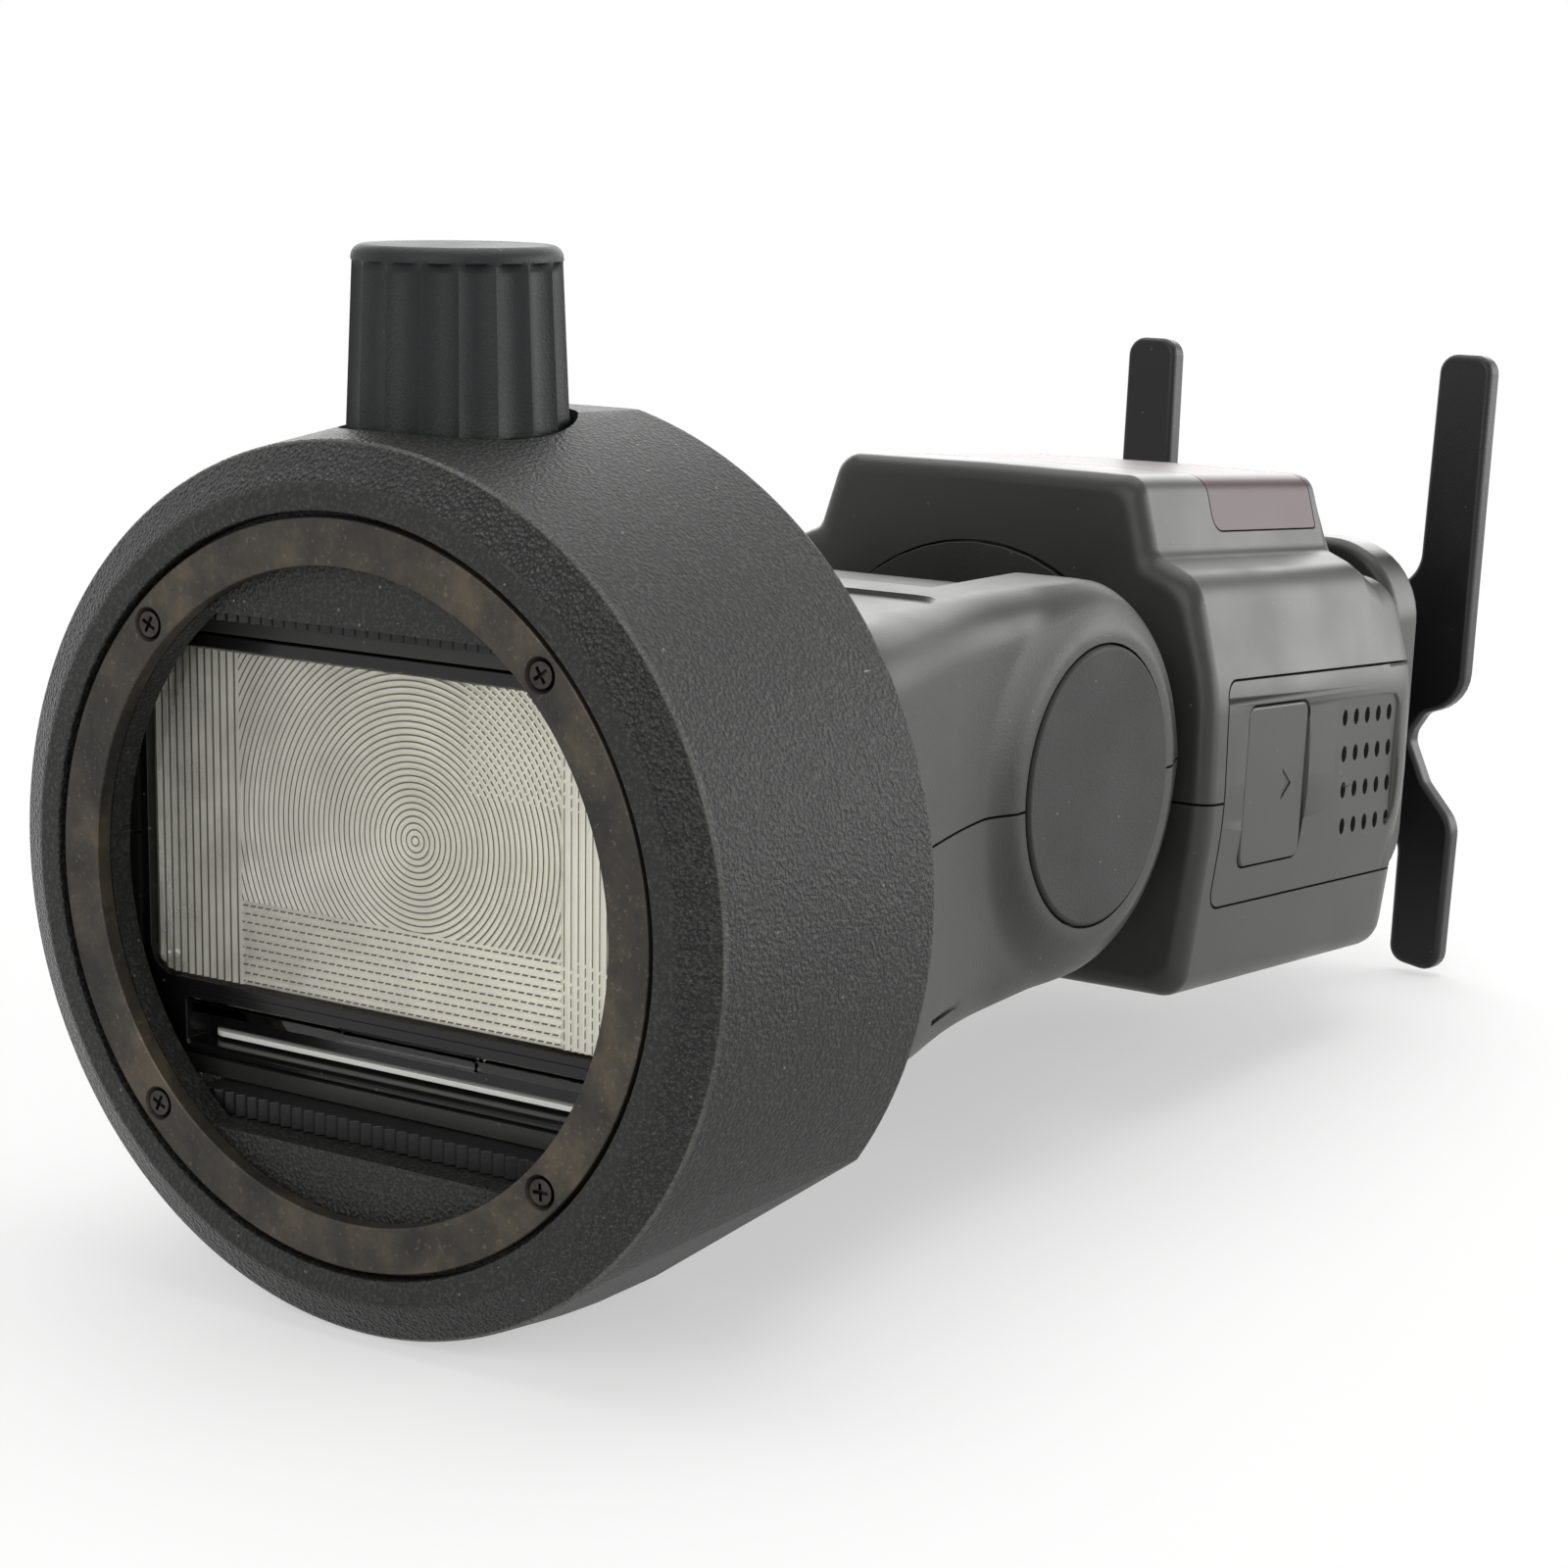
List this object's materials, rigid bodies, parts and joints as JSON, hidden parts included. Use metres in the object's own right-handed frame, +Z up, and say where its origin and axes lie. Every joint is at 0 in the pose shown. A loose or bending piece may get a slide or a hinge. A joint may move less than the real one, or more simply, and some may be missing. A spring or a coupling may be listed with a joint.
{
  "type": "camera flash",
  "caption": "Battery camera flash with a tilting zoom head, a clamp-on round-head adapter and a small table stand.",
  "frame": {"origin": "on the surface that the flash lies on, under the middle of its box", "axes": "+X along the head from the ring to the stand, +Z up, the battery side faces -Y"},
  "size_m": [0.2162, 0.0968, 0.1086],
  "materials": {
    "grained_plastic": "grained",
    "aged_steel": "aged dark",
    "black_steel": "blacked",
    "rubber": "matt",
    "steel": "plain",
    "brass": "turned",
    "knob_plastic": "moulded",
    "head_plastic": "moulded",
    "black_plastic": "moulded",
    "lens_plastic": "clear ribbed",
    "white_card": "smooth",
    "mirror_metal": "polished",
    "tube_glass": "clear",
    "body_plastic": "moulded",
    "red_window": "polished",
    "display_window": "clear",
    "display": "smooth",
    "circuit_board": "lacquered",
    "capacitor_sleeve": "sleeved",
    "contact_metal": "plated",
    "stand_plastic": "moulded"
  },
  "bodies": {
    "body": {"front_shell": "body_plastic", "rear_shell": "body_plastic", "af_window": "red_window", "lcd_window": "display_window", "lcd_panel": "display", "panel_board": "circuit_board", "main_board": "circuit_board", "main_capacitor": "capacitor_sleeve", "battery_contacts": "black_plastic", "port_cover": "rubber", "foot_base": "body_plastic", "shoe_foot": "steel", "shoe_contacts": "contact_metal"},
    "neck": {"neck_yoke": "black_plastic", "pan_ring": "steel"},
    "head": {"head_top_shell": "head_plastic", "head_bottom_shell": "head_plastic", "lens_frame": "black_plastic", "fresnel_lens": "lens_plastic", "hinge_cap_left": "rubber", "hinge_cap_right": "rubber", "hinge_bracket": "steel", "tilt_axle": "steel", "zoom_motor": "steel"},
    "zoom_screw": {"zoom_screw": "steel"},
    "carriage": {"zoom_carriage": "black_plastic", "reflector": "mirror_metal", "flash_tube": "tube_glass"},
    "wide_panel": {"wide_panel": "lens_plastic"},
    "bounce_card": {"bounce_card": "white_card"},
    "adapter": {"adapter_shell": "grained_plastic", "ring_plate": "aged_steel", "ring_screw_1": "black_steel", "ring_screw_2": "black_steel", "ring_screw_3": "black_steel", "ring_screw_4": "black_steel", "lower_pad": "rubber", "nut_insert": "brass"},
    "clamp": {"clamp_plate": "steel", "clamp_pad": "rubber"},
    "knob": {"clamp_knob": "knob_plastic", "clamp_stud": "steel"},
    "battery": {"battery_pack": "body_plastic"},
    "latch": {"battery_release": "body_plastic"},
    "dial": {"control_dial": "black_plastic"},
    "set_key": {"set_key": "rubber"},
    "switch": {"power_switch": "black_plastic"},
    "lock_wheel": {"lock_wheel": "black_plastic"},
    "lock_pin": {"lock_pin": "steel"},
    "stand": {"mini_stand": "stand_plastic", "tripod_nut": "brass"},
    "soft_key_1": {"soft_key_1": "rubber"},
    "soft_key_2": {"soft_key_2": "rubber"},
    "soft_key_3": {"soft_key_3": "rubber"},
    "soft_key_4": {"soft_key_4": "rubber"},
    "mode_key": {"mode_key": "rubber"},
    "test_key": {"test_key": "rubber"}
  },
  "joints": [
    {"name": "head_pan", "type": "hinge", "parent": "body", "child": "neck", "pos_m": [-0.01407, 0, 0.0462], "axis": [0.9971, 0, -0.0767], "range_deg": [-180, 180]},
    {"name": "head_tilt", "type": "hinge", "parent": "neck", "child": "head", "pos_m": [-0.01407, 0, 0.0462], "axis": [0, 1, 0], "range_deg": [-25, 94]},
    {"name": "adapter_slide", "type": "slide", "parent": "head", "child": "adapter", "axis": [-1, 0, 0], "range_m": [0, 0.04]},
    {"name": "knob_turn", "type": "hinge", "parent": "clamp", "child": "knob", "pos_m": [-0.08907, 0, 0.0902], "axis": [0, 0, 1], "range_deg": [0, 1081]},
    {"name": "clamp_slide", "type": "slide", "parent": "adapter", "child": "clamp", "axis": [0, 0, 1], "range_m": [0, 0.0024]},
    {"name": "wide_panel_slide", "type": "slide", "parent": "head", "child": "wide_panel", "axis": [-1, 0, 0], "range_m": [0, 0.0045]},
    {"name": "bounce_card_slide", "type": "slide", "parent": "head", "child": "bounce_card", "axis": [-1, 0, 0], "range_m": [0, 0.006]},
    {"name": "zoom_screw_turn", "type": "hinge", "parent": "head", "child": "zoom_screw", "pos_m": [-0.08407, 0, 0.066], "axis": [1, 0, 0], "range_deg": [0, 2881]},
    {"name": "carriage_slide", "type": "slide", "parent": "head", "child": "carriage", "axis": [1, 0, 0], "range_m": [0, 0.016]},
    {"name": "battery_slide", "type": "slide", "parent": "body", "child": "battery", "axis": [0, -1, 0], "range_m": [0, 0.045]},
    {"name": "battery_release_push", "type": "slide", "parent": "battery", "child": "latch", "axis": [0, 1, 0], "range_m": [0, 0.001], "stiffness_N_per_m": 1500},
    {"name": "dial_turn", "type": "hinge", "parent": "body", "child": "dial", "pos_m": [0.05711, 0, 0.01194], "axis": [0.0767, 0, 0.9971], "continuous": true},
    {"name": "set_key_push", "type": "slide", "parent": "body", "child": "set_key", "axis": [0.0767, 0, 0.9971], "range_m": [0, 0.0005], "stiffness_N_per_m": 1500},
    {"name": "power_switch_slide", "type": "slide", "parent": "body", "child": "switch", "axis": [0, 1, 0], "range_m": [0, 0.005]},
    {"name": "lock_wheel_turn", "type": "hinge", "parent": "body", "child": "lock_wheel", "pos_m": [0.08264, 0, 0.03876], "axis": [0.9971, 0, -0.0767], "range_deg": [0, 60]},
    {"name": "lock_pin_slide", "type": "slide", "parent": "body", "child": "lock_pin", "axis": [0.9971, 0, -0.0767], "range_m": [0, 0.0012]},
    {"name": "stand_slide", "type": "slide", "parent": "body", "child": "stand", "axis": [0.0767, 0, 0.9971], "range_m": [0, 0.02]},
    {"name": "soft_key_1_push", "type": "slide", "parent": "body", "child": "soft_key_1", "axis": [0.0767, 0, 0.9971], "range_m": [0, 0.0005], "stiffness_N_per_m": 1500},
    {"name": "soft_key_2_push", "type": "slide", "parent": "body", "child": "soft_key_2", "axis": [0.0767, 0, 0.9971], "range_m": [0, 0.0005], "stiffness_N_per_m": 1500},
    {"name": "soft_key_3_push", "type": "slide", "parent": "body", "child": "soft_key_3", "axis": [0.0767, 0, 0.9971], "range_m": [0, 0.0005], "stiffness_N_per_m": 1500},
    {"name": "soft_key_4_push", "type": "slide", "parent": "body", "child": "soft_key_4", "axis": [0.0767, 0, 0.9971], "range_m": [0, 0.0005], "stiffness_N_per_m": 1500},
    {"name": "mode_key_push", "type": "slide", "parent": "body", "child": "mode_key", "axis": [0.0767, 0, 0.9971], "range_m": [0, 0.0005], "stiffness_N_per_m": 1500},
    {"name": "test_key_push", "type": "slide", "parent": "body", "child": "test_key", "axis": [0.0767, 0, 0.9971], "range_m": [0, 0.0005], "stiffness_N_per_m": 1500}
  ],
  "couplings": [
    {"joint": "knob_turn", "follows": "clamp_slide", "rad_per_m": 7854},
    {"joint": "zoom_screw_turn", "follows": "carriage_slide", "rad_per_m": 3141.6},
    {"joint": "lock_pin_slide", "follows": "lock_wheel_turn", "m_per_rad": 0.0011459}
  ]
}
